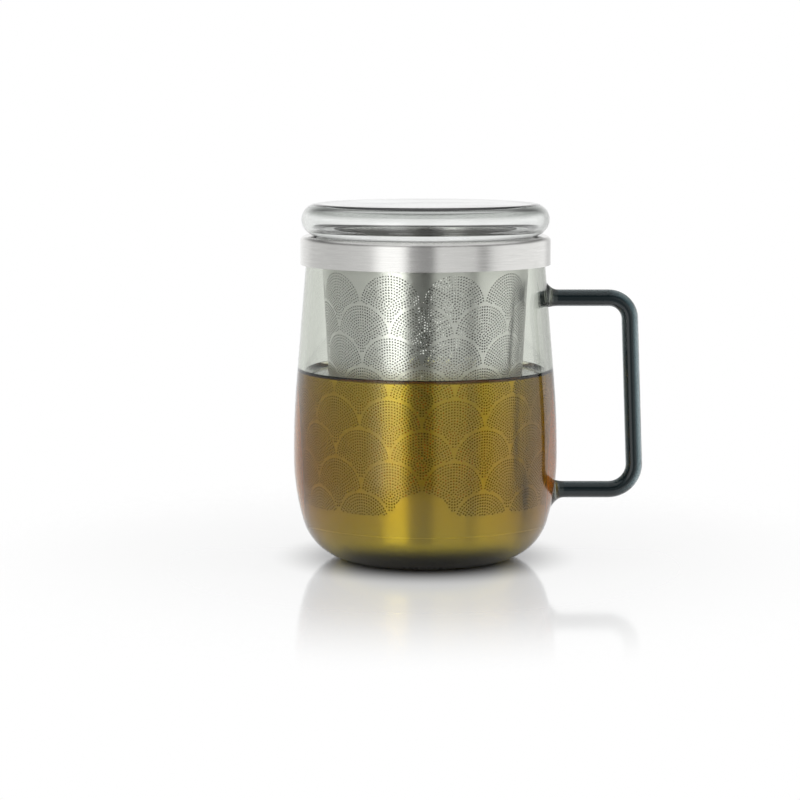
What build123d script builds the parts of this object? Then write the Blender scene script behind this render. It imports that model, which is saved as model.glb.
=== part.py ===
from build123d import *
import math
import os

# Tea glass: a blown glass mug with a smoked-glass rod handle, a lift-out steel infuser and a lift-off
# smoked-glass lid. Millimetres, +Z up. The origin is the middle of the mug's foot, on the table, and the
# handle points along +X. Every turned piece is a half section in the XZ plane, revolved about Z.

# Glass mug: barrel-shaped side, straight neck, flat foot
glass_height = 112.4
glass_max_diameter = 92.4
glass_widest_height = 36.0
glass_upper_belly_radius = 320.0
glass_lower_belly_radius = 80.0
glass_foot_corner_radius = 18.5
glass_neck_angle = 4.8
glass_wall = 2.6
glass_floor = 3.4
glass_rim_round = 0.9

# Handle: one bent rod of smoked glass, whose two bars stand out from the mug's side by the same length
rod_diameter = 5.8
bar_length = 28.45
upper_bar_drop = 21.0
lower_bar_height = 23.8
upper_bend_radius = 7.5
lower_bend_radius = 9.0

# Clear-glass welds that flare from the rod's ends onto the mug
weld_length = 3.4
weld_flare = 2.7
weld_spread = 1.5
weld_waist_place_share = 0.45
weld_waist_flare_share = 0.22
weld_root_depth_share = 0.6

# Infuser: tapered tube of perforated sheet, pressed bottom cup, pressed collar over the mug's rim
sheet = 0.5
basket_clearance = 1.95
basket_taper_angle = 3.0
basket_seam_height = 13.0
cup_bottom_height = 5.5
cup_corner_radius = 7.0
cup_lap = 3.0
lap_clearance = 0.05
strainer_hole_diameter = 1.2
strainer_hole_sides = 6
strainer_ring_pitch = 4.0
strainer_edge_margin = 1.0
collar_clearance = 1.1
collar_height = 9.9
collar_sheet = 0.8
collar_shoulder_radius = 1.8
collar_lip_bend_radius = 1.5
collar_lip_depth = 4.0

# Lid: shallow smoked-glass dish, turned over, with a rolled edge and a ring that sits inside the collar
lid_set_back = 0.4
lid_height = 11.2
lid_wall = 1.8
lid_ring_depth = 2.0
lid_ring_clearance = 0.5
lid_ring_round = 0.6

# Length by which a cutting shape passes the face that it cuts
overrun = 1.0


def revolved(draw_half_section):
    """Revolve a half section, drawn by the given function in the XZ plane, about Z."""
    with BuildSketch(Plane.XZ) as section:
        with BuildLine():
            draw_half_section()
        make_face()
    return revolve(section.sketch, Axis.Z)


def mug_form(inset, floor, top):
    """Solid bounded by the mug's outer surface, drawn in by inset, between floor and top."""
    widest = glass_max_diameter / 2 - inset
    upper = glass_upper_belly_radius - inset
    lower = glass_lower_belly_radius - inset
    corner = glass_foot_corner_radius - inset
    lower_centre = widest - lower
    corner_drop = glass_widest_height - floor - corner
    corner_centre = lower_centre + math.sqrt((lower - corner) ** 2 - corner_drop**2)
    blend_angle = -math.degrees(math.atan2(corner_drop, corner_centre - lower_centre))
    neck = math.radians(glass_neck_angle)
    neck_start = (
        widest - upper + upper * math.cos(neck),
        glass_widest_height + upper * math.sin(neck),
    )
    neck_end = (neck_start[0] - math.tan(neck) * (top - neck_start[1]), top)

    def half_section():
        Line((0, floor), (corner_centre, floor))
        CenterArc((corner_centre, floor + corner), corner, -90, 90 + blend_angle)
        CenterArc((lower_centre, glass_widest_height), lower, blend_angle, -blend_angle)
        CenterArc((widest - upper, glass_widest_height), upper, 0, glass_neck_angle)
        Polyline(neck_start, neck_end, (0, top), (0, floor))

    return revolved(half_section)


def mug_radius_at(height):
    """Outer radius of the mug's side at a height above the foot's corner."""
    widest = glass_max_diameter / 2
    rise = height - glass_widest_height
    if rise < 0:
        lower = glass_lower_belly_radius
        return widest - lower + math.sqrt(lower**2 - rise**2)
    upper = glass_upper_belly_radius
    neck = math.radians(glass_neck_angle)
    if rise < upper * math.sin(neck):
        return widest - upper + math.sqrt(upper**2 - rise**2)
    neck_radius = widest - upper + upper * math.cos(neck)
    return neck_radius - math.tan(neck) * (rise - upper * math.sin(neck))


# Places that the pieces share: what hangs from the rim or sits on it follows the mug's own radius there
rod_radius = rod_diameter / 2
upper_bar_height = glass_height - upper_bar_drop
mug_mouth_radius = mug_radius_at(glass_height) - glass_wall / math.cos(math.radians(glass_neck_angle))
basket_top_radius = mug_mouth_radius - basket_clearance
collar_top = glass_height + collar_sheet
collar_foot = collar_top - collar_height
collar_radius = mug_radius_at(collar_foot) + collar_clearance + collar_sheet
collar_mouth_radius = basket_top_radius - sheet - collar_lip_bend_radius
lid_radius = collar_radius - lid_set_back
lid_top = collar_top + lid_height


def make_glass_body():
    """Open mug with a thicker floor and a melted, rounded rim that keeps a narrow flat top."""
    outside = mug_form(0, 0, glass_height)
    inside = mug_form(glass_wall, glass_floor, glass_height + overrun)
    mug = outside - inside
    return fillet(mug.edges().group_by(Axis.Z)[-1], glass_rim_round)


def make_handle():
    """Bent rod from the upper weld out, down and back to the lower weld."""
    upper_root = mug_radius_at(upper_bar_height)
    lower_root = mug_radius_at(lower_bar_height)
    path = FilletPolyline(
        (upper_root + weld_length, 0, upper_bar_height),
        (upper_root + bar_length, 0, upper_bar_height),
        (lower_root + bar_length, 0, lower_bar_height),
        (lower_root + weld_length, 0, lower_bar_height),
        radius=[upper_bend_radius, lower_bend_radius],
    )
    rod_end = Plane(path @ 0, z_dir=path % 0)
    return sweep(rod_end * Circle(rod_radius), path)


def make_weld(bar_height, spread):
    """Flare of clear glass from the rod's end to the mug, running along the wall by spread."""
    wall_x = mug_radius_at(bar_height)
    stations = (
        (wall_x + weld_length, 0, 0),
        (wall_x + weld_length * weld_waist_place_share, weld_waist_flare_share, weld_waist_flare_share),
        (wall_x - glass_wall * weld_root_depth_share, 1, 1),
    )
    circles = [
        Plane.YZ.offset(x) * Pos(0, bar_height + spread * shift) * Circle(rod_radius + weld_flare * grow)
        for x, grow, shift in stations
    ]
    return loft(circles) - mug_form(0, 0, glass_height)


def basket_radius_at(height):
    """Outer radius of the tapered perforated tube, which is widest at the mug's rim."""
    taper = math.tan(math.radians(basket_taper_angle))
    return basket_top_radius - taper * (glass_height - height)


def make_infuser_wall():
    """Tapered tube that hangs from the collar's web and ends at the bottom cup's seam."""
    seam_radius = basket_radius_at(basket_seam_height)

    def half_section():
        Polyline(
            (seam_radius - sheet, basket_seam_height),
            (seam_radius, basket_seam_height),
            (basket_top_radius, glass_height),
            (basket_top_radius - sheet, glass_height),
            close=True,
        )

    return revolved(half_section)


def cup_form(inset, bottom, top):
    """Solid of the bottom cup's outside, drawn in by inset, with its rounded lower edge."""
    draw_in = sheet + lap_clearance + inset

    def half_section():
        Polyline(
            (0, bottom),
            (basket_radius_at(bottom) - draw_in, bottom),
            (basket_radius_at(top) - draw_in, top),
            (0, top),
            close=True,
        )

    form = revolved(half_section)
    lower_edge = form.edges().group_by(Axis.Z)[0]
    return fillet(lower_edge, cup_corner_radius - inset)


def strainer_holes():
    """Punches for holes on rings of six, twelve, eighteen and so on, across the cup's flat bottom."""
    flat_radius = basket_radius_at(cup_bottom_height) - sheet - cup_corner_radius
    rings = int((flat_radius - strainer_edge_margin) // strainer_ring_pitch)
    spots = [(0, 0)]
    for ring in range(1, rings + 1):
        reach = ring * strainer_ring_pitch
        count = 6 * ring
        for step in range(count):
            turn = 2 * math.pi * step / count
            spots.append((reach * math.cos(turn), reach * math.sin(turn)))
    hole = RegularPolygon(strainer_hole_diameter / 2, strainer_hole_sides)
    punch = extrude(hole, sheet + overrun)
    return [Pos(x, y, cup_bottom_height - overrun / 2) * punch for x, y in spots]


def make_infuser_base():
    """Pressed cup whose rim laps inside the tube, with a strainer of small holes in its bottom."""
    rim_height = basket_seam_height + cup_lap
    shell = cup_form(0, cup_bottom_height, rim_height)
    shell -= cup_form(sheet, cup_bottom_height + sheet, rim_height + overrun)
    return shell - strainer_holes()


def make_infuser_collar():
    """Pressed ring: skirt outside the mug, web across its rim, lip turned down inside the basket."""
    lip_foot = collar_top - collar_lip_depth
    shoulder = collar_shoulder_radius
    bend = collar_lip_bend_radius
    shoulder_centre = (collar_radius - shoulder, collar_top - shoulder)
    bend_centre = (collar_mouth_radius + bend, collar_top - bend)

    def face_line(inset):
        """One face of the sheet, from the lip's foot over the web to the skirt's foot."""
        points = [
            (collar_mouth_radius + inset, lip_foot),
            (collar_mouth_radius + inset, bend_centre[1]),
            (bend_centre[0], collar_top - inset),
            (shoulder_centre[0], collar_top - inset),
            (collar_radius - inset, shoulder_centre[1]),
            (collar_radius - inset, collar_foot),
        ]
        Line(points[0], points[1])
        CenterArc(bend_centre, bend - inset, 90, 90)
        Line(points[2], points[3])
        CenterArc(shoulder_centre, shoulder - inset, 0, 90)
        Line(points[4], points[5])
        return points[0], points[5]

    def half_section():
        outer_lip, outer_skirt = face_line(0)
        inner_lip, inner_skirt = face_line(collar_sheet)
        Line(outer_lip, inner_lip)
        Line(outer_skirt, inner_skirt)

    return revolved(half_section)


def make_lid():
    """Hollow dish upside down: flat top, half-round rolled edge, seat on the collar, locating ring."""
    edge_radius = lid_height / 2
    edge_centre = (lid_radius - edge_radius, collar_top + edge_radius)
    ring_radius = collar_mouth_radius - lid_ring_clearance
    ring_bore = ring_radius - lid_wall
    ring_foot = collar_top - lid_ring_depth
    seat_top = collar_top + lid_wall
    inner_top = lid_top - lid_wall

    def half_section():
        Line((0, lid_top), (edge_centre[0], lid_top))
        CenterArc(edge_centre, edge_radius, -90, 180)
        Polyline(
            (edge_centre[0], collar_top),
            (ring_radius, collar_top),
            (ring_radius, ring_foot),
            (ring_bore, ring_foot),
            (ring_bore, seat_top),
            (edge_centre[0], seat_top),
        )
        CenterArc(edge_centre, edge_radius - lid_wall, -90, 180)
        Polyline((edge_centre[0], inner_top), (0, inner_top), (0, lid_top))

    lid = revolved(half_section)
    ring_edges = lid.edges().group_by(Axis.Z)[0]
    return fillet(ring_edges, lid_ring_round)


pieces = {
    "glass_body": make_glass_body(),
    "handle": make_handle(),
    "upper_handle_weld": make_weld(upper_bar_height, weld_spread),
    "lower_handle_weld": make_weld(lower_bar_height, -weld_spread),
    "infuser_wall": make_infuser_wall(),
    "infuser_base": make_infuser_base(),
    "infuser_collar": make_infuser_collar(),
    "lid": make_lid(),
}

os.makedirs("parts", exist_ok=True)
for node, shape in pieces.items():
    export_step(shape, f"parts/{node}.step")
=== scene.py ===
import math
import bpy
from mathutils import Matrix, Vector
from mathutils.geometry import delaunay_2d_cdt


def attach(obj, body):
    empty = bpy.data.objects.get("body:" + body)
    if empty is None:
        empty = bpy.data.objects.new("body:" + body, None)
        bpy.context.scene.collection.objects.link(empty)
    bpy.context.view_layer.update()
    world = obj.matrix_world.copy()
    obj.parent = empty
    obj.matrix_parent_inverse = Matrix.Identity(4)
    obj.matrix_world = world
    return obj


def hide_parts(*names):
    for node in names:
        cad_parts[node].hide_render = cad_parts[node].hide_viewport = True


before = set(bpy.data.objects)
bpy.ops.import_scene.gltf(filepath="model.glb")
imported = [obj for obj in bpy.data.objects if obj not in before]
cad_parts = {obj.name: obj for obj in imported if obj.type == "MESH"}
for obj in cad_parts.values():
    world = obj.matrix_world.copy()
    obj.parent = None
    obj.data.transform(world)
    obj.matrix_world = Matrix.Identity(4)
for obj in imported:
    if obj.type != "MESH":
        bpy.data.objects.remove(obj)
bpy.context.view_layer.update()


# The mug is one blown vessel of clear borosilicate glass with a faint grey-green cast. Its flat foot runs
# through a round corner and a barrel belly into a straight neck, and the rim is melted round. Lengths are
# in millimetres and angles in degrees; from the table on, lengths are in metres.
MM = 0.001
mug_height = 112.4
mug_widest_radius = 46.2
mug_widest_height = 36.0
mug_upper_belly = 320.0
mug_lower_belly = 80.0
mug_foot_corner = 18.5
mug_neck_angle = 4.8
mug_wall = 2.6
mug_floor = 3.4
mug_rim_round = 0.9
mug_steps = 160
mug_corner_steps = 18
mug_lower_steps = 12
mug_upper_steps = 10
mug_neck_steps = 12
mug_rim_steps = 6
mug_flat_steps = 6
merge_gap = 0.002
smooth_below = 40
glass_ior = 1.47
glass_haze = 0.01
mug_tint_density = 90.0
mug_tint = (0.22, 0.29, 0.12, 1.0)
mug_gleam = (0.5, 0.5, 0.5, 1.0)
mug_wave_scale = 28.0
mug_wave_height = 0.03
wave_detail = 1.0
smear_scale = 90.0
smear_detail = 4.0
plain_white = (1.0, 1.0, 1.0, 1.0)


def arc(centre, radius, first, last, steps):
    """Points of an arc in a half section, with angles in degrees from the outward direction."""
    angles = [math.radians(first + (last - first) * step / steps) for step in range(steps + 1)]
    return [(centre[0] + radius * math.cos(a), centre[1] + radius * math.sin(a)) for a in angles]


def straight(first, last, steps):
    """Points of a straight line in a half section, both ends included."""
    shares = [step / steps for step in range(steps + 1)]
    return [(first[0] + (last[0] - first[0]) * s, first[1] + (last[1] - first[1]) * s) for s in shares]


def mug_side(inset, floor, top):
    """Half section of the mug's side, drawn in by inset, from the floor's flat up to a height on the neck."""
    widest = mug_widest_radius - inset
    upper = mug_upper_belly - inset
    lower = mug_lower_belly - inset
    corner = mug_foot_corner - inset
    lower_middle = widest - lower
    drop = mug_widest_height - floor - corner
    corner_middle = lower_middle + math.sqrt((lower - corner) ** 2 - drop**2)
    blend = -math.degrees(math.atan2(drop, corner_middle - lower_middle))
    side = arc((corner_middle, floor + corner), corner, -90, blend, mug_corner_steps)
    side += arc((lower_middle, mug_widest_height), lower, blend, 0, mug_lower_steps)[1:]
    side += arc((widest - upper, mug_widest_height), upper, 0, mug_neck_angle, mug_upper_steps)[1:]
    reach, height = side[-1]
    lean = math.tan(math.radians(mug_neck_angle))
    side += straight((reach, height), (reach - lean * (top - height), top), mug_neck_steps)[1:]
    return side


def mug_section():
    """Half section of the whole mug: out along the foot, up the outside, over the rim and down inside."""
    neck = math.radians(mug_neck_angle)
    outside = mug_side(0, 0, mug_height - mug_rim_round * (1 - math.sin(neck)))
    inside = mug_side(mug_wall, mug_floor, mug_height - mug_rim_round * (1 + math.sin(neck)))
    rim_height = mug_height - mug_rim_round
    outer_middle = (outside[-1][0] - mug_rim_round * math.cos(neck), rim_height)
    inner_middle = (inside[-1][0] + mug_rim_round * math.cos(neck), rim_height)
    rim = arc(outer_middle, mug_rim_round, mug_neck_angle, 90, mug_rim_steps)[1:]
    rim += arc(inner_middle, mug_rim_round, 90, 180 + mug_neck_angle, mug_rim_steps)[:-1]
    foot = straight((0, 0), outside[0], mug_flat_steps)[:-1]
    floor = straight(inside[0], (0, mug_floor), mug_flat_steps)[1:]
    return foot + outside + rim + inside[::-1] + floor


def start_piece(name, point):
    """New mesh in edit mode that holds one vertex: a small plane, merged at its middle."""
    bpy.ops.object.select_all(action="DESELECT")
    bpy.ops.mesh.primitive_plane_add(size=MM, location=(0, 0, 0))
    piece = bpy.context.object
    piece.name = piece.data.name = name
    bpy.ops.object.mode_set(mode="EDIT")
    bpy.ops.mesh.select_all(action="SELECT")
    bpy.ops.mesh.merge(type="CENTER")
    bpy.ops.transform.translate(value=(point[0] * MM, 0, point[1] * MM))
    return piece


def close_seams(smooth_angle=smooth_below):
    """Merge the vertices that meet, face all faces outwards, leave edit mode and smooth the shading."""
    bpy.ops.mesh.select_all(action="SELECT")
    bpy.ops.mesh.remove_doubles(threshold=merge_gap * MM)
    bpy.ops.mesh.normals_make_consistent(inside=False)
    bpy.ops.object.mode_set(mode="OBJECT")
    bpy.ops.object.shade_smooth_by_angle(angle=math.radians(smooth_angle))


def turned(name, section, steps):
    """Draw a half section vertex by vertex in the XZ plane and spin it round the mug's axis."""
    piece = start_piece(name, section[0])
    for (reach, height), (next_reach, next_height) in zip(section, section[1:]):
        move = ((next_reach - reach) * MM, 0, (next_height - height) * MM)
        bpy.ops.mesh.extrude_vertices_move(TRANSFORM_OT_translate={"value": move})
    bpy.ops.mesh.select_all(action="SELECT")
    bpy.ops.mesh.spin(steps=steps, angle=2 * math.pi, center=(0, 0, 0), axis=(0, 0, 1))
    close_seams()
    return piece


def new_group(name, inputs, outputs):
    """Shader node group with float sockets, and its input and output nodes."""
    group = bpy.data.node_groups.new(name, "ShaderNodeTree")
    for socket, value in inputs.items():
        made = group.interface.new_socket(name=socket, in_out="INPUT", socket_type="NodeSocketFloat")
        made.default_value = value
    for socket in outputs:
        group.interface.new_socket(name=socket, in_out="OUTPUT", socket_type="NodeSocketFloat")
    return group, group.nodes.new("NodeGroupInput"), group.nodes.new("NodeGroupOutput")


def feed(tree, socket, source):
    """Give a socket its source: a link from another socket, or a plain value."""
    if isinstance(source, bpy.types.NodeSocket):
        tree.links.new(source, socket)
    else:
        socket.default_value = source


def math_node(tree, operation, *operands):
    """Math node whose operands are sockets or numbers; returns its result."""
    node = tree.nodes.new("ShaderNodeMath")
    node.operation = operation
    for socket, operand in zip(node.inputs, operands):
        feed(tree, socket, operand)
    return node.outputs[0]


# Blown glass is never quite even: long shallow waves in the surface, and a little handling haze.
blown_glass, blown_in, blown_out = new_group(
    "blown_glass", {"Wave": mug_wave_scale, "Haze": glass_haze}, ("Height", "Roughness")
)
place = blown_glass.nodes.new("ShaderNodeTexCoord")
waves = blown_glass.nodes.new("ShaderNodeTexNoise")
waves.inputs["Detail"].default_value = wave_detail
blown_glass.links.new(place.outputs["Object"], waves.inputs["Vector"])
blown_glass.links.new(blown_in.outputs["Wave"], waves.inputs["Scale"])
blown_glass.links.new(waves.outputs["Fac"], blown_out.inputs["Height"])
smears = blown_glass.nodes.new("ShaderNodeTexNoise")
smears.inputs["Scale"].default_value = smear_scale
smears.inputs["Detail"].default_value = smear_detail
blown_glass.links.new(place.outputs["Object"], smears.inputs["Vector"])
haze = math_node(blown_glass, "MULTIPLY", smears.outputs["Fac"], blown_in.outputs["Haze"])
blown_glass.links.new(haze, blown_out.inputs["Roughness"])


def new_material(name):
    """Node material, with its tree and its Principled shader."""
    made = bpy.data.materials.new(name)
    made.use_nodes = True
    return made, made.node_tree, made.node_tree.nodes["Principled BSDF"]


def add_bump(tree, shader, height, strength, distance):
    """Bump node from a height socket to the shader's normal, its distance in millimetres."""
    bump = tree.nodes.new("ShaderNodeBump")
    bump.inputs["Strength"].default_value = strength
    bump.inputs["Distance"].default_value = distance * MM
    tree.links.new(height, bump.inputs["Height"])
    tree.links.new(bump.outputs["Normal"], shader.inputs["Normal"])


def clear_material(name, ior, gleam, tint_density, tint):
    """Clear material, with its tree and shader: full transmission, and colour from its depth."""
    made, tree, shader = new_material(name)
    shader.inputs["Base Color"].default_value = plain_white
    shader.inputs["Transmission Weight"].default_value = 1.0
    shader.inputs["IOR"].default_value = ior
    shader.inputs["Specular Tint"].default_value = gleam
    inside = tree.nodes.new("ShaderNodeVolumeAbsorption")
    inside.inputs["Color"].default_value = tint
    inside.inputs["Density"].default_value = tint_density
    tree.links.new(inside.outputs["Volume"], tree.nodes["Material Output"].inputs["Volume"])
    return made, tree, shader


def glass_material(name, tint_density, tint, wave_scale, wave_height, gleam=plain_white):
    """Clear or smoked glass with slight waves, their height in millimetres, and haze."""
    made, tree, shader = clear_material(name, glass_ior, gleam, tint_density, tint)
    surface = tree.nodes.new("ShaderNodeGroup")
    surface.node_tree = blown_glass
    surface.inputs["Wave"].default_value = wave_scale
    surface.inputs["Haze"].default_value = glass_haze
    tree.links.new(surface.outputs["Roughness"], shader.inputs["Roughness"])
    add_bump(tree, shader, surface.outputs["Height"], 1.0, wave_height)
    return made


def dress(piece, finish, body, stands_for=()):
    """Give a piece its one material and its body, and hide the solids that it stands for."""
    piece.data.materials.clear()
    piece.data.materials.append(finish)
    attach(piece, body)
    if stands_for:
        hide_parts(*stands_for)


mug = turned("glass_mug", mug_section(), mug_steps)
clear_glass = glass_material(
    "clear_glass", mug_tint_density, mug_tint, mug_wave_scale, mug_wave_height, mug_gleam
)
dress(mug, clear_glass, "glass", ["glass_body"])


# The two welds are short flares of clear glass, melted between the rod's ends and the mug's side. The
# upper one runs up the wall a little and the lower one down, as hot glass is pressed on.
rod_radius = 2.9
bar_length = 28.45
upper_bar_drop = 21.0
upper_bar_height = mug_height - upper_bar_drop
lower_bar_height = 23.8
weld_length = 3.4
weld_sink = 0.6
weld_flare = 2.7
weld_flare_power = 2.1
weld_spread = 1.5
weld_overlap = 0.1
weld_rings = 9
weld_corners = 48
# The welds' darkening towards the rod is painted shade.
weld_painted_shade = (0.02, 0.03, 0.033, 1.0)
weld_shade_run = (-0.2, 0.6)


def mug_radius_at(height):
    """Outer radius of the mug's side at a height above the foot's corner."""
    rise = height - mug_widest_height
    if rise < 0:
        return mug_widest_radius - mug_lower_belly + math.sqrt(mug_lower_belly**2 - rise**2)
    neck = math.radians(mug_neck_angle)
    if rise < mug_upper_belly * math.sin(neck):
        return mug_widest_radius - mug_upper_belly + math.sqrt(mug_upper_belly**2 - rise**2)
    neck_radius = mug_widest_radius - mug_upper_belly * (1 - math.cos(neck))
    return neck_radius - math.tan(neck) * (rise - mug_upper_belly * math.sin(neck))


def add_disc(name, radius, corners, place):
    """New filled circle that faces along X, left in edit mode with all of it selected."""
    bpy.ops.object.select_all(action="DESELECT")
    bpy.ops.mesh.primitive_circle_add(vertices=corners, radius=radius * MM, fill_type="NGON")
    disc = bpy.context.object
    disc.name = disc.data.name = name
    bpy.ops.object.mode_set(mode="EDIT")
    bpy.ops.mesh.select_all(action="SELECT")
    bpy.ops.transform.rotate(value=math.pi / 2, orient_axis="Y", center_override=(0, 0, 0))
    bpy.ops.transform.translate(value=[length * MM for length in place])
    return disc


def make_weld(name, bar_height, spread):
    """Flare pulled from the rod's end into the wall, ring by ring."""
    wall = mug_radius_at(bar_height)
    depth = weld_length + weld_sink * mug_wall
    piece = add_disc(name, rod_radius, weld_corners, (wall + weld_length, 0, bar_height))
    radius, lift, reach = rod_radius, 0, 0
    for ring in range(1, weld_rings + 1):
        grown = (ring / weld_rings) ** weld_flare_power
        next_radius = rod_radius + weld_flare * grown
        step = (-depth / weld_rings * MM, 0, (spread * grown - lift) * MM)
        bpy.ops.mesh.extrude_region_move(TRANSFORM_OT_translate={"value": step})
        reach += depth / weld_rings
        lift = spread * grown
        middle = ((wall + weld_length - reach) * MM, 0, (bar_height + lift) * MM)
        grow = next_radius / radius
        bpy.ops.transform.resize(value=(1, grow, grow), center_override=middle)
        radius = next_radius
    close_seams()
    return piece


def select_only(piece):
    """Select one object alone and make it the active one."""
    bpy.ops.object.select_all(action="DESELECT")
    piece.select_set(True)
    bpy.context.view_layer.objects.active = piece


def cut_away(piece, cutter):
    """Boolean difference, applied; the cutter goes and the edges that it leaves stay sharp."""
    cut = piece.modifiers.new("cut", "BOOLEAN")
    cut.operation = "DIFFERENCE"
    cut.object = cutter
    cut.solver = "EXACT"
    bpy.context.view_layer.objects.active = piece
    bpy.ops.object.modifier_apply(modifier=cut.name)
    bpy.data.objects.remove(cutter)
    select_only(piece)
    bpy.ops.object.shade_smooth_by_angle(angle=math.radians(smooth_below))


def split_place(tree, kind="Object"):
    """X, Y and Z of a texture coordinate, as sockets."""
    place = tree.nodes.new("ShaderNodeTexCoord")
    parts = tree.nodes.new("ShaderNodeSeparateXYZ")
    tree.links.new(place.outputs[kind], parts.inputs["Vector"])
    return parts.outputs


def soft_step(tree, value, start, end, first=0.0, last=1.0):
    """Smooth change from first to last as a value goes from start to end."""
    step = tree.nodes.new("ShaderNodeMapRange")
    step.interpolation_type = "SMOOTHSTEP"
    limits = {"From Min": start, "From Max": end, "To Min": first, "To Max": last}
    for socket, limit in limits.items():
        step.inputs[socket].default_value = limit
    tree.links.new(value, step.inputs["Value"])
    return step.outputs["Result"]


def mix_colours(tree, share, first, second):
    """Mix of two colours by a share; each colour is a socket or a plain one."""
    mix = tree.nodes.new("ShaderNodeMix")
    mix.data_type = "RGBA"
    tree.links.new(share, mix.inputs["Factor"])
    feed(tree, mix.inputs["A"], first)
    feed(tree, mix.inputs["B"], second)
    return mix.outputs["Result"]


def weld_material(name, wall):
    """Clear glass painted darker from the wall out to the rod's end: painted shade for the dark rod seen
    through the weld.
    """
    made = glass_material(name, mug_tint_density, mug_tint, mug_wave_scale, mug_wave_height)
    tree = made.node_tree
    clear_end, smoked_end = [(wall + share * weld_length) * MM for share in weld_shade_run]
    shade_share = soft_step(tree, split_place(tree)["X"], clear_end, smoked_end)
    shades = mix_colours(tree, shade_share, plain_white, weld_painted_shade)
    tree.links.new(shades, tree.nodes["Principled BSDF"].inputs["Base Color"])
    return made


for weld_name, bar_height, spread in (
    ("upper_handle_weld_glass", upper_bar_height, weld_spread),
    ("lower_handle_weld_glass", lower_bar_height, -weld_spread),
):
    weld = make_weld(weld_name, bar_height, spread)
    core = mug_side(weld_overlap, 0, mug_height)
    cut_away(weld, turned("mug_core", [(0, 0)] + core + [(0, mug_height)], mug_steps))
    weld_glass = weld_material(weld_name, mug_radius_at(bar_height))
    dress(weld, weld_glass, "glass", [weld_name.removesuffix("_glass")])


# The handle is one bent rod of dark smoked glass, drawn to an even thickness and bent hot in two corners.
# Its ends are melted into the two clear welds.
upper_bend = 7.5
lower_bend = 9.0
rod_corners = 48
bend_steps = 14
smoke_core = (0.004, 0.010, 0.012, 1.0)
# The rod's lighter colour on its side towards the lamp on the right is painted light.
smoke_painted_lit = (0.72, 0.86, 0.89, 1.0)
smoke_edge = (0.75, 0.83, 0.84, 1.0)
smoke_density = 20.0
smoke = (0.3, 0.4, 0.4, 1.0)
rod_wave_scale = 40.0
rod_wave_height = 0.01
rod_lit_side = (1.0, 0, 0.1)
rod_lit_slope = (0.0, 0.6)
rod_core_end = (0.01, 0.15)
rod_edge_power = 2.4


def make_rod():
    """Disc pulled out along the upper bar, spun round each bend and pulled along the runs between."""
    upper_start = mug_radius_at(upper_bar_height) + weld_length - weld_overlap
    lower_start = mug_radius_at(lower_bar_height) + weld_length - weld_overlap
    upper_corner = mug_radius_at(upper_bar_height) + bar_length
    lower_corner = mug_radius_at(lower_bar_height) + bar_length
    drop = upper_bar_height - lower_bar_height
    lean = math.atan2(lower_corner - upper_corner, drop)
    upper_turn = math.pi / 2 - lean
    lower_turn = math.pi / 2 + lean
    upper_cut = upper_bend * math.tan(upper_turn / 2)
    lower_cut = lower_bend * math.tan(lower_turn / 2)
    run = math.hypot(drop, lower_corner - upper_corner) - upper_cut - lower_cut
    rod = add_disc("handle_rod", rod_radius, rod_corners, (upper_start, 0, upper_bar_height))
    pull = {"value": ((upper_corner - upper_cut - upper_start) * MM, 0, 0)}
    bpy.ops.mesh.extrude_region_move(TRANSFORM_OT_translate=pull)
    middle = ((upper_corner - upper_cut) * MM, 0, (upper_bar_height - upper_bend) * MM)
    bpy.ops.mesh.spin(steps=bend_steps, angle=upper_turn, center=middle, axis=(0, -1, 0))
    pull = {"value": (run * math.sin(lean) * MM, 0, -run * math.cos(lean) * MM)}
    bpy.ops.mesh.extrude_region_move(TRANSFORM_OT_translate=pull)
    middle = ((lower_corner - lower_cut) * MM, 0, (lower_bar_height + lower_bend) * MM)
    bpy.ops.mesh.spin(steps=bend_steps, angle=lower_turn, center=middle, axis=(0, -1, 0))
    pull = {"value": (-(lower_corner - lower_cut - lower_start) * MM, 0, 0)}
    bpy.ops.mesh.extrude_region_move(TRANSFORM_OT_translate=pull)
    close_seams()
    return rod


rod = make_rod()
smoked_glass = glass_material("smoked_glass", smoke_density, smoke, rod_wave_scale, rod_wave_height)
# The smoke is darkest through the rod's core and palest at the thin edges. The lighter colour on the side
# that faces the lamp on the right, on the outer side of the bends and the long run, is painted light.
tree = smoked_glass.node_tree
slant = tree.nodes.new("ShaderNodeLayerWeight")
place = tree.nodes.new("ShaderNodeTexCoord")
outwards = tree.nodes.new("ShaderNodeVectorMath")
outwards.operation = "DOT_PRODUCT"
outwards.inputs[1].default_value = rod_lit_side
tree.links.new(place.outputs["Normal"], outwards.inputs[0])
lit_share = soft_step(tree, outwards.outputs["Value"], *rod_lit_slope)
beside_core = soft_step(tree, slant.outputs["Facing"], *rod_core_end)
painted_lit = mix_colours(tree, math_node(tree, "MULTIPLY", lit_share, beside_core), smoke_core, smoke_painted_lit)
edge_share = math_node(tree, "POWER", slant.outputs["Facing"], rod_edge_power)
thinner = mix_colours(tree, edge_share, painted_lit, smoke_edge)
tree.links.new(thinner, tree.nodes["Principled BSDF"].inputs["Base Color"])
dress(rod, smoked_glass, "glass", ["handle"])


# The tea is the drink that the photographed mug holds, clear olive-amber liquid up to two thirds of the
# mug. It wets the wall with a low meniscus and reaches a hair into the glass, so that no air shows between.
tea_level = 65.3
tea_wet = 0.15
tea_flat_steps = 6
meniscus_rise = 1.7
meniscus_width = 3.2
meniscus_shares = (0, 0.15, 0.3, 0.5, 0.7, 0.85, 1)
tea_ior = 1.333
tea_density = 282.0
tea_colour = (0.945, 0.873, 0.13, 1.0)
tea_gleam = (0.1, 0.1, 0.1, 1.0)


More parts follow.
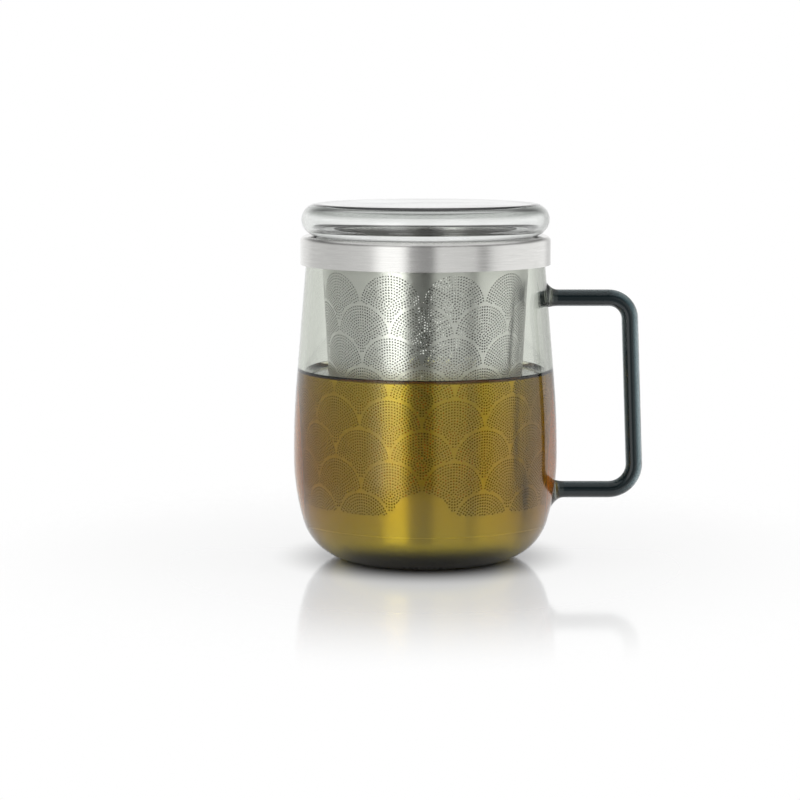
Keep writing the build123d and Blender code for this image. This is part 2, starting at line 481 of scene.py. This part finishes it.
def tea_section():
    """Half section of the liquid: floor, wall up to the wetted line, and the surface back to the axis."""
    floor = mug_floor - tea_wet
    wall = [point for point in mug_side(mug_wall - tea_wet, floor, mug_height) if point[1] < tea_level]
    lean = math.tan(math.radians(mug_neck_angle))
    wetted = tea_level + meniscus_rise
    wall_reach = wall[-1][0] - lean * (wetted - wall[-1][1])
    curve = [
        (wall_reach - meniscus_width * share, tea_level + meniscus_rise * (1 - share) ** 2)
        for share in meniscus_shares
    ]
    return [(0, floor)] + wall + curve + straight(curve[-1], (0, tea_level), tea_flat_steps)[1:]


tea = turned("tea", tea_section(), mug_steps)
tea_liquid, tree, shader = clear_material("tea_liquid", tea_ior, tea_gleam, tea_density, tea_colour)
shader.inputs["Roughness"].default_value = 0.0
dress(tea, tea_liquid, "glass")


# The infuser's wall is thin stainless sheet, etched right through with rows of overlapping fans of fine
# dots, rolled into a tapered tube and welded. One fan of the lowest row, at the front, is left plain.
basket_clearance = 1.95
mug_mouth_radius = mug_radius_at(mug_height) - mug_wall / math.cos(math.radians(mug_neck_angle))
basket_top_radius = mug_mouth_radius - basket_clearance
basket_taper_angle = 3.0
basket_taper = math.tan(math.radians(basket_taper_angle))
basket_seam_height = 13.0
basket_sheet = 0.4
basket_smooth_below = 30
seam_edge = 0.36
seam_dulling = 0.12
# Colour of the thin band at the tube's lower edge: a painted highlight.
seam_painted_highlight = (1.0, 1.0, 0.97, 1.0)
fans_round = 10
fan_rows = 8
fan_radius = 10.6
fan_first_apex = 101.9
fan_turn = 15.5
fan_lowest = -2
fan_grid = 12
dot_rings = 11
dot_pitch = 0.934
dot_edge = 0.6
dot_spacing = 0.95
dot_radius = 0.32
dot_corners = 6
dot_margin = 0.55
dots_end_height = 20.4
foot_rows = 3
top_rows = 16
plain_column = 0
plain_grid_reach = 0.95
top_grid_start = 1.05
panel_columns = ((0, 1, 2), (3, 4, 5), (6, 7), (8, 9))
flat_merge_gap = 1e-7
keep_inside = 1
satin_shades = ((0.62, 0.62, 0.6, 1), (0.66, 0.66, 0.64, 1))
# The faces that look into the basket are painted darker: painted shade.
satin_inside_shade = (0.22, 0.22, 0.2, 1)
satin_roughness = (0.28, 0.31)
satin_lines = 9000.0
satin_run = 4.0
satin_depth = 0.001
brush_detail = 3.0
brush_contrast = 0.7
brush_spread = (0.25, 0.75)
brush_strength = 0.5
brush_stretch = 0.9
brush_stretch_turn = 0.25


def basket_radius_at(height):
    """Outer radius of the tapered tube."""
    return basket_top_radius - basket_taper * (mug_height - height)


def perforated(outline, holes, inner=()):
    """Flat sheet with an outline that runs to the left, holes and loose points, as points and triangles."""
    points, rings = [], []
    for ring in [outline] + holes:
        rings.append(list(range(len(points), len(points) + len(ring))))
        points += ring
    points += inner
    corners = [Vector(point) for point in points]
    flat, _, faces, _, _, owners = delaunay_2d_cdt(corners, [], rings, keep_inside, flat_merge_gap)
    return [tuple(p) for p in flat], [f for f, owner in zip(faces, owners) if list(owner) == [0]]


def circle_points(centre, radius, first, last, steps):
    """Points from one angle to the next, without the last."""
    return arc(centre, radius, first, last, steps)[:-1]


def etched(spots):
    """Outlines of etched dots at their spots, in a fan's flat units."""
    return [circle_points(spot, dot_radius / fan_radius, 0, 360, dot_corners) for spot in spots]


def fan_dots(lowest):
    """Dots of one fan in its flat units: rings about its middle that the two fans below cover in part."""
    spots = []
    for ring in range(dot_rings):
        reach = fan_radius - dot_edge - ring * dot_pitch
        count = round(2 * math.pi * reach / dot_spacing)
        for step in range(count):
            turn = 2 * math.pi * step / count
            spots.append((reach * math.sin(turn) / fan_radius, reach * math.cos(turn) / fan_radius))
    clear = 1 + dot_margin / fan_radius
    return [
        (x, y)
        for x, y in spots
        if math.hypot(x - 1, y + 1) > clear and math.hypot(x + 1, y + 1) > clear and y > lowest
    ]


def row_middle(row):
    """Height of the middles of a row of fans."""
    return fan_first_apex - fan_radius * (row + 1)


# In its flat units a fan is two wide, with its middle at the origin. The fans of the lowest row end in a
# straight foot at the seam, and above the first row the sheet is plain up to the mug's rim.
arch = circle_points((0, 0), 1, 180, 0, 2 * fan_grid)
fan_outline = arch + circle_points((1, -1), 1, 90, 180, fan_grid)
fan_outline += circle_points((-1, -1), 1, 0, 90, fan_grid)
fan_sheet = perforated(fan_outline[::-1], etched(fan_dots(fan_lowest)))
across_fan = range(1 - fan_grid, fan_grid)
foot_drop = (basket_seam_height - row_middle(fan_rows - 1)) / fan_radius
foot_grid = [(x / fan_grid, foot_drop * y / foot_rows) for x in across_fan for y in range(1, foot_rows)]
foot_side = [(1, 0)] + [(1, foot_drop * y / foot_rows) for y in range(1, foot_rows)]
foot_edge = [(x / fan_grid, foot_drop) for x in range(fan_grid, -fan_grid, -1)]
foot_outline = arch + foot_side + foot_edge + [(-x, y) for x, y in [(1, foot_drop)] + foot_side[:0:-1]]
foot_outline.reverse()
foot_limit = (dots_end_height - row_middle(fan_rows - 1)) / fan_radius
foot_sheet = perforated(foot_outline, etched(fan_dots(foot_limit)), foot_grid)
plain_grid = [
    (x / fan_grid, y / fan_grid)
    for x in across_fan
    for y in range(fan_grid)
    if math.hypot(x, y) < plain_grid_reach * fan_grid
]
plain_sheet = perforated(foot_outline, [], foot_grid + plain_grid)
top_rise = (mug_height - row_middle(0)) / fan_radius
top_heights = [top_rise * y / top_rows for y in range(1, top_rows)]
top_side = [(1, y) for y in top_heights]
top_edge = [(x / fan_grid, top_rise) for x in range(fan_grid, -fan_grid - 1, -1)]
top_outline = arch + [(1, 0)] + top_side + top_edge + [(-x, y) for x, y in top_side[::-1]]
top_grid = [
    (x / fan_grid, y) for x in across_fan for y in top_heights if math.hypot(x / fan_grid, y) > top_grid_start
]
top_sheet = perforated(top_outline, [], top_grid)


def rolled(x, height, turn):
    """Place on the tapered tube of a flat point, by its fan's turn from the front and its height."""
    angle = math.radians(turn + x * 180 / fans_round)
    radius = basket_radius_at(height) * MM
    return radius * math.sin(angle), -radius * math.cos(angle), height * MM


def add_sheet(points, faces, sheet, row, turn):
    """Add one fan's sheet to a panel's points and faces."""
    start = len(points)
    flat, triangles = sheet
    middle = row_middle(row)
    points += [rolled(x, middle + y * fan_radius, turn) for x, y in flat]
    faces += [[start + corner for corner in triangle] for triangle in triangles]


def new_sheet(name, points, faces):
    """New object from points in metres and faces, selected alone."""
    mesh = bpy.data.meshes.new(name)
    mesh.from_pydata(points, [], faces)
    sheet = bpy.data.objects.new(name, mesh)
    bpy.context.scene.collection.objects.link(sheet)
    select_only(sheet)
    return sheet


def give_depth(piece, thickness, smooth_angle):
    """Close the seams of the active sheet and give it its thickness inwards."""
    bpy.ops.object.mode_set(mode="EDIT")
    close_seams(smooth_angle)
    depth = piece.modifiers.new("sheet", "SOLIDIFY")
    depth.thickness = thickness * MM
    depth.offset = -1
    bpy.ops.object.modifier_apply(modifier=depth.name)
    bpy.ops.object.shade_smooth_by_angle(angle=math.radians(smooth_angle))


def make_panel(name, columns):
    """One stretch of the wall: its fans row by row, merged along their edges and given the sheet's depth."""
    points, faces = [], []
    half = 180 / fans_round
    for column in columns:
        turn = fan_turn + column * 360 / fans_round
        add_sheet(points, faces, top_sheet, 0, turn)
        for row in range(fan_rows - 1):
            add_sheet(points, faces, fan_sheet, row, turn - half * (row % 2))
        last = plain_sheet if column == plain_column else foot_sheet
        add_sheet(points, faces, last, fan_rows - 1, turn - half)
    panel = new_sheet(name, points, faces)
    give_depth(panel, basket_sheet, basket_smooth_below)
    return panel


# Steel that is brushed or turned shows fine lines round the axis. This group gives their height and shade,
# and marks the faces that look inwards, where the steel materials paint shade.
brushed_round, brush_in, brush_out = new_group(
    "brushed_round", {"Lines": satin_lines, "Run": satin_run}, ("Height", "Shade", "Inside")
)
place = brushed_round.nodes.new("ShaderNodeTexCoord")
parts = brushed_round.nodes.new("ShaderNodeSeparateXYZ")
brushed_round.links.new(place.outputs["Object"], parts.inputs["Vector"])
squares = [math_node(brushed_round, "POWER", parts.outputs[axis], 2.0) for axis in "XY"]
reach = math_node(brushed_round, "SQRT", math_node(brushed_round, "ADD", *squares))
brush_place = brushed_round.nodes.new("ShaderNodeCombineXYZ")
outward = brushed_round.nodes.new("ShaderNodeCombineXYZ")
for axis in "XY":
    along = math_node(brushed_round, "DIVIDE", parts.outputs[axis], reach)
    along = math_node(brushed_round, "MULTIPLY", along, brush_in.outputs["Run"])
    brushed_round.links.new(along, brush_place.inputs[axis])
    brushed_round.links.new(parts.outputs[axis], outward.inputs[axis])
across = math_node(brushed_round, "ADD", parts.outputs["Z"], reach)
across = math_node(brushed_round, "MULTIPLY", across, brush_in.outputs["Lines"])
brushed_round.links.new(across, brush_place.inputs["Z"])
lines = brushed_round.nodes.new("ShaderNodeTexNoise")
lines.inputs["Scale"].default_value = 1.0
lines.inputs["Detail"].default_value = brush_detail
lines.inputs["Roughness"].default_value = brush_contrast
brushed_round.links.new(brush_place.outputs["Vector"], lines.inputs["Vector"])
for result in ("Height", "Shade"):
    brushed_round.links.new(lines.outputs["Fac"], brush_out.inputs[result])
facing = brushed_round.nodes.new("ShaderNodeVectorMath")
facing.operation = "DOT_PRODUCT"
brushed_round.links.new(place.outputs["Normal"], facing.inputs[0])
brushed_round.links.new(outward.outputs["Vector"], facing.inputs[1])
looks_in = math_node(brushed_round, "LESS_THAN", facing.outputs["Value"], 0.0)
brushed_round.links.new(looks_in, brush_out.inputs["Inside"])


def by_shade(tree, shade, low, high):
    """Number that goes from low to high with the shade of the brushed lines."""
    ramp = tree.nodes.new("ShaderNodeMapRange")
    limits = {"From Min": brush_spread[0], "From Max": brush_spread[1], "To Min": low, "To Max": high}
    for socket, limit in limits.items():
        ramp.inputs[socket].default_value = limit
    tree.links.new(shade, ramp.inputs["Value"])
    return ramp.outputs["Result"]


def steel_material(name, shades, inner, roughness, lines, run, depth):
    """Stainless steel with fine lines round the axis, in two close shades and roughnesses, with painted shade
    on the faces that look inwards.
    """
    made, tree, shader = new_material(name)
    shader.inputs["Metallic"].default_value = 1.0
    shader.inputs["Anisotropic"].default_value = brush_stretch
    shader.inputs["Anisotropic Rotation"].default_value = brush_stretch_turn
    round_axis = tree.nodes.new("ShaderNodeTangent")
    round_axis.direction_type = "RADIAL"
    round_axis.axis = "Z"
    tree.links.new(round_axis.outputs["Tangent"], shader.inputs["Tangent"])
    brush = tree.nodes.new("ShaderNodeGroup")
    brush.node_tree = brushed_round
    brush.inputs["Lines"].default_value = lines
    brush.inputs["Run"].default_value = run
    shade = brush.outputs["Shade"]
    outer = mix_colours(tree, by_shade(tree, shade, 0.0, 1.0), *shades)
    tree.links.new(mix_colours(tree, brush.outputs["Inside"], outer, inner), shader.inputs["Base Color"])
    tree.links.new(by_shade(tree, shade, *roughness), shader.inputs["Roughness"])
    add_bump(tree, shader, brush.outputs["Height"], brush_strength, depth)
    return made


satin_steel = steel_material(
    "satin_steel", satin_shades, satin_inside_shade, satin_roughness, satin_lines, satin_run, satin_depth
)
# A thin band at the tube's lower edge, where it laps over the cup, is painted bright and made rougher: a
# painted highlight of the lap's edge.
tree = satin_steel.node_tree
shader = tree.nodes["Principled BSDF"]
seam_middle = (basket_seam_height + seam_edge / 2) * MM
above_seam = math_node(tree, "SUBTRACT", split_place(tree)["Z"], seam_middle)
highlight_band = math_node(tree, "LESS_THAN", math_node(tree, "ABSOLUTE", above_seam), seam_edge / 2 * MM)
duller = math_node(tree, "MULTIPLY", highlight_band, seam_dulling)
wall_roughness = shader.inputs["Roughness"].links[0].from_socket
tree.links.new(math_node(tree, "ADD", wall_roughness, duller), shader.inputs["Roughness"])
wall_colour = shader.inputs["Base Color"].links[0].from_socket
tree.links.new(mix_colours(tree, highlight_band, wall_colour, seam_painted_highlight), shader.inputs["Base Color"])
for number, columns in enumerate(panel_columns, 1):
    panel = make_panel(f"infuser_wall_panel_{number}", columns)
    dress(panel, satin_steel, "infuser", ["infuser_wall"])


# The infuser's bottom is a pressed cup of the same sheet with a rounded lower edge. Its rim laps inside the
# wall and is welded there, and its flat bottom is pierced with rings of fine holes.
cup_bottom = 5.5
cup_corner = 7.0
cup_corner_steps = 14
cup_rim_steps = 4
cup_lap = 3.0
cup_gap = 0.05
cup_sheet = 0.5
cup_steps = 144
strainer_pitch = 1.85
strainer_first_ring = 6
strainer_hole = 0.4
strainer_hole_corners = 6
strainer_edge = 1.0


def cup_side():
    """Half section of the cup's outside, from its rim down to the edge of the flat bottom."""
    top = basket_seam_height + cup_lap
    draw_in = cup_sheet + cup_gap
    lean = math.atan(basket_taper)
    rim = (basket_radius_at(top) - draw_in, top)
    middle_height = cup_bottom + cup_corner
    tangent = middle_height - cup_corner * math.sin(lean)
    middle_reach = basket_radius_at(tangent) - draw_in - cup_corner * math.cos(lean)
    corner = arc((middle_reach, middle_height), cup_corner, -math.degrees(lean), -90, cup_corner_steps)
    return straight(rim, corner[0], cup_rim_steps)[:-1] + corner


def strainer_sheet(radius):
    """The cup's flat bottom with its rings of holes, in millimetres."""
    outline = circle_points((0, 0), radius, 0, 360, cup_steps)
    spots = [(0, 0)]
    for ring in range(1, int((radius - strainer_edge) // strainer_pitch) + 1):
        count = strainer_first_ring * ring
        for step in range(count):
            turn = 2 * math.pi * step / count
            spots.append((ring * strainer_pitch * math.cos(turn), ring * strainer_pitch * math.sin(turn)))
    holes = [circle_points(spot, strainer_hole, 0, 360, strainer_hole_corners) for spot in spots]
    return perforated(outline, holes)


side = cup_side()
cup = turned("infuser_cup", side, cup_steps)
flat, triangles = strainer_sheet(side[-1][0])
new_sheet("strainer_disc", [(x * MM, y * MM, cup_bottom * MM) for x, y in flat], triangles)
cup.select_set(True)
bpy.context.view_layer.objects.active = cup
bpy.ops.object.join()
give_depth(cup, cup_sheet, smooth_below)
dress(cup, satin_steel, "infuser", ["infuser_base"])


# The collar is a ring pressed from thicker stainless sheet, brushed round. Its skirt hangs outside the
# mug's rim, its flat web lies on the rim, and its lip turns down into the basket, which is welded to it.
collar_sheet = 0.8
collar_top = mug_height + collar_sheet
collar_skirt = 9.9
collar_foot = collar_top - collar_skirt
collar_clearance = 1.1
collar_radius = mug_radius_at(collar_foot) + collar_clearance + collar_sheet
collar_shoulder = 1.8
collar_shoulder_steps = 14
collar_lip_bend = 1.5
collar_lip_steps = 8
collar_lip_depth = 4.0
collar_lip_inset = 0.5
collar_mouth = basket_top_radius - collar_lip_inset - collar_lip_bend
brushed_shades = ((0.68, 0.675, 0.655, 1), (0.8, 0.795, 0.775, 1))
# The collar's faces that look inwards are painted darker: painted shade.
brushed_inside_shade = (0.6, 0.6, 0.58, 1)
brushed_roughness = (0.18, 0.28)
brushed_lines = 2400.0
brushed_run = 5.0
brushed_depth = 0.003


def collar_face(inset):
    """One face of the sheet, from the lip's foot over the web to the skirt's foot."""
    lip = [(collar_mouth + inset, collar_top - collar_lip_depth)]
    bend_middle = (collar_mouth + collar_lip_bend, collar_top - collar_lip_bend)
    bend = arc(bend_middle, collar_lip_bend - inset, 180, 90, collar_lip_steps)
    shoulder_middle = (collar_radius - collar_shoulder, collar_top - collar_shoulder)
    shoulder = arc(shoulder_middle, collar_shoulder - inset, 90, 0, collar_shoulder_steps)
    return lip + bend + shoulder + [(collar_radius - inset, collar_foot)]


collar_section = collar_face(0) + collar_face(collar_sheet)[::-1]
collar = turned("infuser_collar_ring", collar_section + collar_section[:1], mug_steps)
brushed_steel = steel_material(
    "brushed_steel", brushed_shades, brushed_inside_shade, brushed_roughness,
    brushed_lines, brushed_run, brushed_depth,
)
dress(collar, brushed_steel, "infuser", ["infuser_collar"])


# The lid is a shallow hollow dish of lightly smoked glass, set upside down: flat top, half-round rolled
# edge, and a ring below that drops into the collar and keeps the lid from sliding.
lid_height = 11.2
lid_wall = 1.8
lid_inset = 0.4
lid_radius = collar_radius - lid_inset
lid_flat_steps = 8
lid_roll_steps = 28
lid_inside_steps = 16
lid_ring_play = 0.5
lid_ring_radius = collar_mouth - lid_ring_play
lid_ring_depth = 2.0
lid_ring_round = 0.6
lid_ring_steps = 6
lid_seat = 0.7
lid_seat_turn = -50.0
lid_seat_bend = (1.0, 1.2)
lid_seat_steps = 8
lid_tint_density = 95.0
lid_tint = (0.57, 0.62, 0.57, 1.0)
lid_wave_scale = 34.0
lid_wave_height = 0.03
# Darker tint of the lid's upper bend: painted shade.
lid_bend_painted_shade = (0.58, 0.595, 0.58, 1.0)
lid_bend_slope = (0.3, 0.62)
lid_top_slope = (0.9, 0.99)
lid_waist = (0.45, 0.58)


def eased(first, knee, last, steps):
    """Points of a curve that leaves the first point towards the knee and comes from it to the last."""
    shares = [step / steps for step in range(1, steps)]
    return [
        tuple((1 - s) ** 2 * a + 2 * s * (1 - s) * b + s**2 * c for a, b, c in zip(first, knee, last))
        for s in shares
    ]


def lid_section():
    """Half section: along the top, round the rolled edge, along the seat, round the ring, and back inside."""
    top = collar_top + lid_height
    roll = lid_height / 2
    roll_middle = (lid_radius - roll, collar_top + roll)
    seat = collar_top + lid_seat
    foot = collar_top - lid_ring_depth
    bore = lid_ring_radius - lid_wall
    soft = lid_ring_round
    outside = straight((0, top), (roll_middle[0], top), lid_flat_steps)[:-1]
    outside += arc(roll_middle, roll, 90, -90, lid_roll_steps)
    ring = [(lid_ring_radius, collar_top)]
    ring += arc((lid_ring_radius - soft, foot + soft), soft, 0, -90, lid_ring_steps)
    ring += arc((bore + soft, foot + soft), soft, -90, -180, lid_ring_steps)
    ring += [(bore, seat), (roll_middle[0] - lid_seat_bend[0], seat)]
    inside = arc(roll_middle, roll - lid_wall, lid_seat_turn, 90, lid_inside_steps)
    ring += eased(ring[-1], (roll_middle[0] + lid_seat_bend[1], seat), inside[0], lid_seat_steps)
    return outside + ring + inside + straight(inside[-1], (0, top - lid_wall), lid_flat_steps)[1:]


lid = turned("lid_dish", lid_section(), mug_steps)
lid_glass = glass_material("lid_glass", lid_tint_density, lid_tint, lid_wave_scale, lid_wave_height)
# The lid's upper bend is tinted darker than the flat top and the side; this is painted shade, as the glass
# wall is even there.
tree = lid_glass.node_tree
slope = split_place(tree, "Normal")["Z"]
waist = [(collar_top + lid_height * share) * MM for share in lid_waist]
shaded_bend = soft_step(tree, slope, *lid_bend_slope)
shaded_bend = math_node(tree, "MULTIPLY", shaded_bend, soft_step(tree, slope, *lid_top_slope, 1.0, 0.0))
shaded_bend = math_node(tree, "MULTIPLY", shaded_bend, soft_step(tree, split_place(tree)["Z"], *waist))
painted_bend_shade = mix_colours(tree, shaded_bend, plain_white, lid_bend_painted_shade)
tree.links.new(painted_bend_shade, tree.nodes["Principled BSDF"].inputs["Base Color"])
dress(lid, lid_glass, "lid", ["lid"])


# The table is a plain pale, slightly glossy disc that runs out softly into the white studio round it. The
# room has brighter and darker stretches, which give steel and glass their bands, and soft boxes above.
floor_radius = 0.205
floor_corners = 96
floor_fade_start = 0.08
floor_fade_margin = 0.02
floor_paint = (0.3, 0.3, 0.3, 1.0)
floor_white = 0.86
floor_foot_shadow = (0.028, 0.056)
floor_polish = 1.4
floor_polish_roughness = 0.08
floor_ior = 1.5
ceiling_rise = (0.12, 0.45)
ceiling_shade = 0.22
overhead_rise = (0.5, 0.75)
overhead_light = 0.65
mirrored_stops = (
    (-180, 1.0), (-165, 1.0), (-140, 0.88), (-127, 0.7), (-95, 0.66), (-75, 0.7), (-58, 0.77), (-52, 0.84),
    (-46, 1.18), (-40, 1.44), (-23, 1.44), (-18, 1.05), (-14, 0.52), (-4, 0.36), (5, 0.33), (8.5, 0.62),
    (12, 0.85), (45, 0.76), (50, 0.55), (55, 0.46), (60, 0.68), (66, 0.9), (75, 1.0), (138, 1.04), (150, 0.7),
    (162, 0.7), (171, 1.0), (180, 1.0),
)
through_stops = (
    (-180, 1.0), (-165, 1.0), (-140, 1.0), (-127, 0.92), (-95, 0.89), (-75, 0.95), (-60, 1.05), (-54, 1.2),
    (-48, 2.4), (-41, 3.4), (-26, 3.5), (-20, 0.95), (-15, 0.4), (-4, 0.2), (5, 0.2), (9, 0.72), (13, 1.16),
    (45, 1.1), (50, 0.72), (55, 0.63), (60, 1.05), (66, 1.4), (75, 1.55), (122, 1.4), (132, 0.7), (158, 0.7),
    (170, 1.0), (180, 1.0),
)
soft_boxes = (
    ("left_box", (-0.75, -0.35, 0.45), (0.5, 0.8), 1.5),
    ("right_box", (0.8, -0.2, 0.4), (0.3, 0.8), 1.2),
    ("top_box", (0.0, 0.1, 1.0), (0.9, 0.9), 1.5),
)
aim = Vector((0, 0, 0.06))
camera_place = (-0.00888, -0.88995, 0.16423)
camera_tilt = 83.03
camera_lens = 115.03
camera_sensor = 36.0


def mix_shaders(tree, share, first, second):
    """Mix of two shaders by a share."""
    mix = tree.nodes.new("ShaderNodeMixShader")
    for socket, source in zip(mix.inputs, (share, first, second)):
        tree.links.new(source, socket)
    return mix.outputs["Shader"]


bpy.ops.object.select_all(action="DESELECT")
bpy.ops.mesh.primitive_circle_add(
    vertices=floor_corners, radius=floor_radius, fill_type="NGON", location=(0, 0, 0)
)
floor = bpy.context.object
floor.name = "pale_floor"
pale, tree, shader = new_material("pale_floor")
tree.nodes.remove(shader)
place = tree.nodes.new("ShaderNodeTexCoord")
reach = tree.nodes.new("ShaderNodeVectorMath")
reach.operation = "LENGTH"
tree.links.new(place.outputs["Object"], reach.inputs[0])
paint = tree.nodes.new("ShaderNodeBsdfDiffuse")
paint.inputs["Color"].default_value = floor_paint
white = tree.nodes.new("ShaderNodeEmission")
path = tree.nodes.new("ShaderNodeLightPath")
seen = math_node(tree, "MAXIMUM", path.outputs["Is Camera Ray"], path.outputs["Is Glossy Ray"])
seen = math_node(tree, "MAXIMUM", seen, path.outputs["Is Transmission Ray"])
# The white glow is cut off near and under the foot, which paints a shadow round the foot.
beside_foot = soft_step(tree, reach.outputs["Value"], *floor_foot_shadow, 0.0, floor_white)
tree.links.new(math_node(tree, "MULTIPLY", seen, beside_foot), white.inputs["Strength"])
lit_paint = tree.nodes.new("ShaderNodeAddShader")
tree.links.new(paint.outputs["BSDF"], lit_paint.inputs[0])
tree.links.new(white.outputs["Emission"], lit_paint.inputs[1])
polish = tree.nodes.new("ShaderNodeBsdfGlossy")
polish.inputs["Roughness"].default_value = floor_polish_roughness
slant = tree.nodes.new("ShaderNodeFresnel")
slant.inputs["IOR"].default_value = floor_ior
gloss_share = math_node(tree, "MULTIPLY", slant.outputs["Fac"], floor_polish)
gloss_share = math_node(tree, "MINIMUM", gloss_share, 1.0)
polished = mix_shaders(tree, gloss_share, lit_paint.outputs["Shader"], polish.outputs["BSDF"])
open_air = tree.nodes.new("ShaderNodeBsdfTransparent")
fade_end = floor_radius - floor_fade_margin
floor_share = soft_step(tree, reach.outputs["Value"], floor_fade_start, fade_end, 1.0, 0.0)
faded = mix_shaders(tree, floor_share, open_air.outputs["BSDF"], polished)
tree.links.new(faded, tree.nodes["Material Output"].inputs["Surface"])
floor.data.materials.append(pale)

world = bpy.data.worlds.new("white_studio")
bpy.context.scene.world = world
world.use_nodes = True
tree = world.node_tree
backdrop = tree.nodes["Background"]
direction = split_place(tree, "Generated")
turn = math_node(tree, "ARCTAN2", direction["X"], math_node(tree, "MULTIPLY", direction["Y"], -1.0))
round_share = math_node(tree, "ADD", math_node(tree, "DIVIDE", turn, 2 * math.pi), 0.5)


def band_ramp(band_stops):
    """Ramp of brightness round the room, by degrees from the front."""
    bands = tree.nodes.new("ShaderNodeValToRGB")
    bands.color_ramp.interpolation = "LINEAR"
    stops = bands.color_ramp.elements
    for number, (degrees, value) in enumerate(band_stops):
        share = degrees / 360 + 0.5
        if number == 0:
            stop = stops[0]
        elif number < len(band_stops) - 1:
            stop = stops.new(share)
        else:
            stop = stops[-1]
        stop.position = share
        stop.color = (value, value, value, 1)
    tree.links.new(round_share, bands.inputs["Fac"])
    return bands.outputs["Color"]


# Glass and steel see the banded room, dimmer above and with a light overhead; all else sees plain white.
path = tree.nodes.new("ShaderNodeLightPath")
through = math_node(tree, "MULTIPLY", path.outputs["Is Transmission Ray"], band_ramp(through_stops))
bent = math_node(tree, "MAXIMUM", path.outputs["Is Transmission Ray"], path.outputs["Is Glossy Ray"])
only_mirrored = math_node(tree, "SUBTRACT", bent, path.outputs["Is Transmission Ray"])
mirrored = math_node(tree, "MULTIPLY", only_mirrored, band_ramp(mirrored_stops))
shown = math_node(tree, "ADD", through, mirrored)
plain = math_node(tree, "SUBTRACT", 1.0, bent)
ceiling = soft_step(tree, direction["Z"], *ceiling_rise, 1.0, ceiling_shade)
overhead = soft_step(tree, direction["Z"], *overhead_rise, 0.0, overhead_light)
above = math_node(tree, "MULTIPLY", bent, overhead)
room = math_node(tree, "ADD", math_node(tree, "MULTIPLY", shown, ceiling), above)
tree.links.new(math_node(tree, "ADD", room, plain), backdrop.inputs["Strength"])
backdrop.inputs["Color"].default_value = plain_white

for name, place, size, power in soft_boxes:
    lamp = bpy.data.lights.new(name, "AREA")
    lamp.shape = "RECTANGLE"
    lamp.size, lamp.size_y = size
    lamp.energy = power
    box = bpy.data.objects.new(name, lamp)
    box.location = place
    box.rotation_euler = (aim - Vector(place)).to_track_quat("-Z", "Y").to_euler()
    box.visible_glossy = False
    box.visible_transmission = False
    bpy.context.scene.collection.objects.link(box)

camera = bpy.data.objects.new("camera", bpy.data.cameras.new("camera"))
camera.location = camera_place
camera.rotation_euler = (math.radians(camera_tilt), 0, 0)
camera.data.lens = camera_lens
camera.data.sensor_width = camera_sensor
bpy.context.scene.collection.objects.link(camera)
bpy.context.scene.camera = camera
bpy.context.scene.view_settings.view_transform = "Standard"
